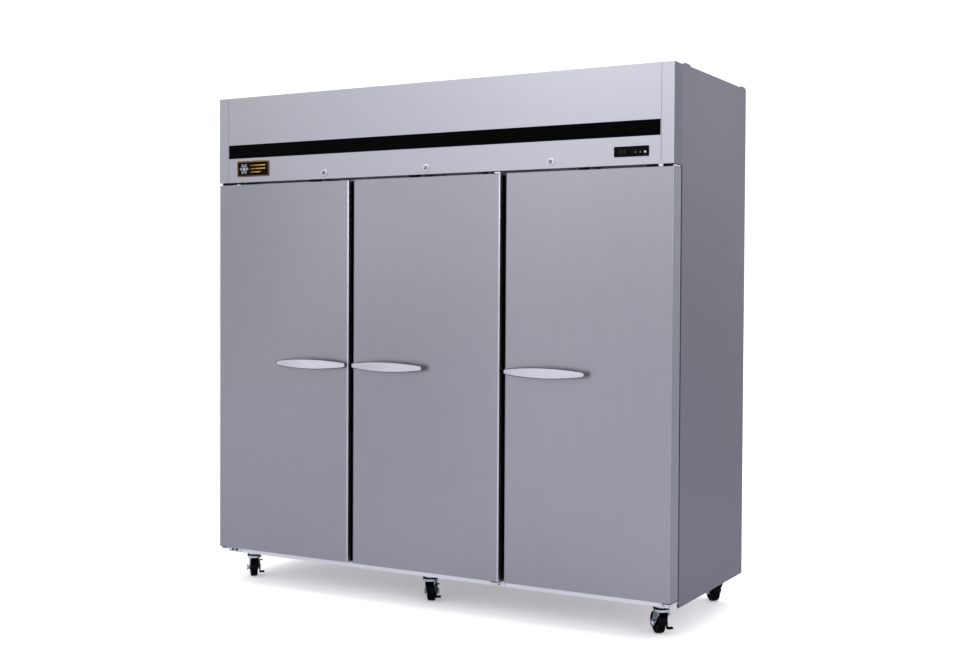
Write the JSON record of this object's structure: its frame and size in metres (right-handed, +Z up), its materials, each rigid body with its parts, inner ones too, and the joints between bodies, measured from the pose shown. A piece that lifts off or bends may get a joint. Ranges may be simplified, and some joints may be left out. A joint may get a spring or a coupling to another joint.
{
  "type": "reach-in refrigerator",
  "caption": "Upright stainless steel reach-in refrigerator with a row of solid hinged doors, a header with intake grille, locks and controller, and casters.",
  "frame": {"origin": "centre of the overall footprint, on the floor under the wheels", "axes": "+X to the right seen from the front, +Y to the rear, +Z up; the doors face -Y"},
  "size_m": [2.08, 0.8266, 2.08],
  "materials": {
    "stainless": "satin",
    "galvanised": "satin",
    "liner_metal": "satin",
    "foam": "matte",
    "gasket_vinyl": "matte",
    "black_plastic": "matte",
    "badge_enamel": "gloss",
    "lock_chrome": "polished",
    "key_plastic": "satin",
    "door_liner": "satin",
    "shelf_epoxy": "satin",
    "fin_aluminium": "satin",
    "compressor_paint": "satin",
    "fan_plastic": "matte",
    "zinc": "satin",
    "wheel_rubber": "matte",
    "pedal": "matte"
  },
  "bodies": {
    "cabinet": {"side_panels": "stainless", "back_panel": "galvanised", "base_pan": "stainless", "foam_insulation": "foam", "interior_liner": "liner_metal", "mullions": "stainless", "header_panel": "stainless", "header_end_caps": "stainless", "intake_grille": "black_plastic", "badge_plate": "badge_enamel", "controller_case": "black_plastic", "lock_housings": "lock_chrome", "hinge_brackets": "stainless", "shelf_tracks": "liner_metal", "wire_shelves": "shelf_epoxy", "evaporator_housing": "liner_metal", "evaporator_coil": "fin_aluminium", "compressor": "compressor_paint", "condenser_coil": "fin_aluminium", "condenser_shroud": "galvanised", "control_box": "galvanised", "caster_plates": "zinc"},
    "door_1": {"door_1_skin": "stainless", "door_1_core": "foam", "door_1_liner": "door_liner", "door_1_gasket": "gasket_vinyl", "door_1_handle": "stainless"},
    "door_2": {"door_2_skin": "stainless", "door_2_core": "foam", "door_2_liner": "door_liner", "door_2_gasket": "gasket_vinyl", "door_2_handle": "stainless"},
    "door_3": {"door_3_skin": "stainless", "door_3_core": "foam", "door_3_liner": "door_liner", "door_3_gasket": "gasket_vinyl", "door_3_handle": "stainless"},
    "lock_1": {"lock_1": "lock_chrome"},
    "lock_2": {"lock_2": "lock_chrome"},
    "lock_3": {"lock_3": "lock_chrome"},
    "key_1": {"key_1": "key_plastic"},
    "key_2": {"key_2": "key_plastic"},
    "key_3": {"key_3": "key_plastic"},
    "caster_1": {"caster_1_fork": "zinc"},
    "wheel_1": {"caster_1_wheel": "wheel_rubber"},
    "brake_1": {"caster_1_brake": "pedal"},
    "caster_2": {"caster_2_fork": "zinc"},
    "wheel_2": {"caster_2_wheel": "wheel_rubber"},
    "brake_2": {"caster_2_brake": "pedal"},
    "caster_3": {"caster_3_fork": "zinc"},
    "wheel_3": {"caster_3_wheel": "wheel_rubber"},
    "brake_3": {"caster_3_brake": "pedal"},
    "caster_4": {"caster_4_fork": "zinc"},
    "wheel_4": {"caster_4_wheel": "wheel_rubber"},
    "caster_5": {"caster_5_fork": "zinc"},
    "wheel_5": {"caster_5_wheel": "wheel_rubber"},
    "caster_6": {"caster_6_fork": "zinc"},
    "wheel_6": {"caster_6_wheel": "wheel_rubber"},
    "evaporator_fan": {"evaporator_fan": "fan_plastic"},
    "condenser_fan": {"condenser_fan": "fan_plastic"}
  },
  "joints": [
    {"name": "door_1_hinge", "type": "hinge", "parent": "cabinet", "child": "door_1", "pos_m": [-1.025, -0.355, 0.93], "axis": [0, 0, -1], "range_deg": [0, 110], "stiffness_Nm_per_rad": 3, "springref_deg": -45.84},
    {"name": "door_2_hinge", "type": "hinge", "parent": "cabinet", "child": "door_2", "pos_m": [0.3235, -0.355, 0.93], "axis": [0, 0, 1], "range_deg": [0, 95], "stiffness_Nm_per_rad": 3, "springref_deg": -45.84},
    {"name": "door_3_hinge", "type": "hinge", "parent": "cabinet", "child": "door_3", "pos_m": [1.025, -0.355, 0.93], "axis": [0, 0, 1], "range_deg": [0, 110], "stiffness_Nm_per_rad": 3, "springref_deg": -45.84},
    {"name": "lock_1_turn", "type": "hinge", "parent": "cabinet", "child": "lock_1", "pos_m": [-0.4847, -0.345, 1.7425], "axis": [0, 1, 0], "range_deg": [0, 90]},
    {"name": "lock_2_turn", "type": "hinge", "parent": "cabinet", "child": "lock_2", "pos_m": [0.0068, -0.345, 1.7425], "axis": [0, 1, 0], "range_deg": [0, 90]},
    {"name": "lock_3_turn", "type": "hinge", "parent": "cabinet", "child": "lock_3", "pos_m": [0.5539, -0.345, 1.7425], "axis": [0, 1, 0], "range_deg": [0, 90]},
    {"name": "key_1_press", "type": "slide", "parent": "cabinet", "child": "key_1", "axis": [0, 1, 0], "range_m": [0, 0.0008], "stiffness_N_per_m": 600, "springref_m": -0.001},
    {"name": "key_2_press", "type": "slide", "parent": "cabinet", "child": "key_2", "axis": [0, 1, 0], "range_m": [0, 0.0008], "stiffness_N_per_m": 600, "springref_m": -0.001},
    {"name": "key_3_press", "type": "slide", "parent": "cabinet", "child": "key_3", "axis": [0, 1, 0], "range_m": [0, 0.0008], "stiffness_N_per_m": 600, "springref_m": -0.001},
    {"name": "caster_1_swivel", "type": "hinge", "parent": "cabinet", "child": "caster_1", "pos_m": [-0.954, -0.24, 0.1], "axis": [0, 0, 1], "continuous": true},
    {"name": "wheel_1_roll", "type": "hinge", "parent": "caster_1", "child": "wheel_1", "pos_m": [-0.97484, -0.21842, 0.039], "axis": [-0.7193, -0.6947, 0], "continuous": true},
    {"name": "brake_1_release", "type": "hinge", "parent": "caster_1", "child": "brake_1", "pos_m": [-0.95956, -0.23425, 0.066], "axis": [-0.7193, -0.6947, 0], "range_deg": [0, 12]},
    {"name": "caster_2_swivel", "type": "hinge", "parent": "cabinet", "child": "caster_2", "pos_m": [-0.045, -0.24, 0.1], "axis": [0, 0, 1], "continuous": true},
    {"name": "wheel_2_roll", "type": "hinge", "parent": "caster_2", "child": "wheel_2", "pos_m": [-0.05624, -0.21218, 0.039], "axis": [-0.9272, -0.3746, 0], "continuous": true},
    {"name": "brake_2_release", "type": "hinge", "parent": "caster_2", "child": "brake_2", "pos_m": [-0.048, -0.23258, 0.066], "axis": [-0.9272, -0.3746, 0], "range_deg": [0, 12]},
    {"name": "caster_3_swivel", "type": "hinge", "parent": "cabinet", "child": "caster_3", "pos_m": [0.954, -0.24, 0.1], "axis": [0, 0, 1], "continuous": true},
    {"name": "wheel_3_roll", "type": "hinge", "parent": "caster_3", "child": "wheel_3", "pos_m": [0.93354, -0.21806, 0.039], "axis": [-0.7314, -0.682, 0], "continuous": true},
    {"name": "brake_3_release", "type": "hinge", "parent": "caster_3", "child": "brake_3", "pos_m": [0.94854, -0.23415, 0.066], "axis": [-0.7314, -0.682, 0], "range_deg": [0, 12]},
    {"name": "caster_4_swivel", "type": "hinge", "parent": "cabinet", "child": "caster_4", "pos_m": [-0.954, 0.352, 0.1], "axis": [0, 0, 1], "continuous": true},
    {"name": "wheel_4_roll", "type": "hinge", "parent": "caster_4", "child": "wheel_4", "pos_m": [-0.97247, 0.37564, 0.039], "axis": [-0.788, -0.6157, 0], "continuous": true},
    {"name": "caster_5_swivel", "type": "hinge", "parent": "cabinet", "child": "caster_5", "pos_m": [-0.045, 0.352, 0.1], "axis": [0, 0, 1], "continuous": true},
    {"name": "wheel_5_roll", "type": "hinge", "parent": "caster_5", "child": "wheel_5", "pos_m": [-0.06, 0.37798, 0.039], "axis": [-0.866, -0.5, 0], "continuous": true},
    {"name": "caster_6_swivel", "type": "hinge", "parent": "cabinet", "child": "caster_6", "pos_m": [0.954, 0.352, 0.1], "axis": [0, 0, 1], "continuous": true},
    {"name": "wheel_6_roll", "type": "hinge", "parent": "caster_6", "child": "wheel_6", "pos_m": [0.93279, 0.37321, 0.039], "axis": [-0.7071, -0.7071, 0], "continuous": true},
    {"name": "evaporator_fan_spin", "type": "hinge", "parent": "cabinet", "child": "evaporator_fan", "pos_m": [0, -0.032, 1.58], "axis": [0, 1, 0], "continuous": true},
    {"name": "condenser_fan_spin", "type": "hinge", "parent": "cabinet", "child": "condenser_fan", "pos_m": [-0.09, -0.13, 1.875], "axis": [0, 1, 0], "continuous": true}
  ]
}
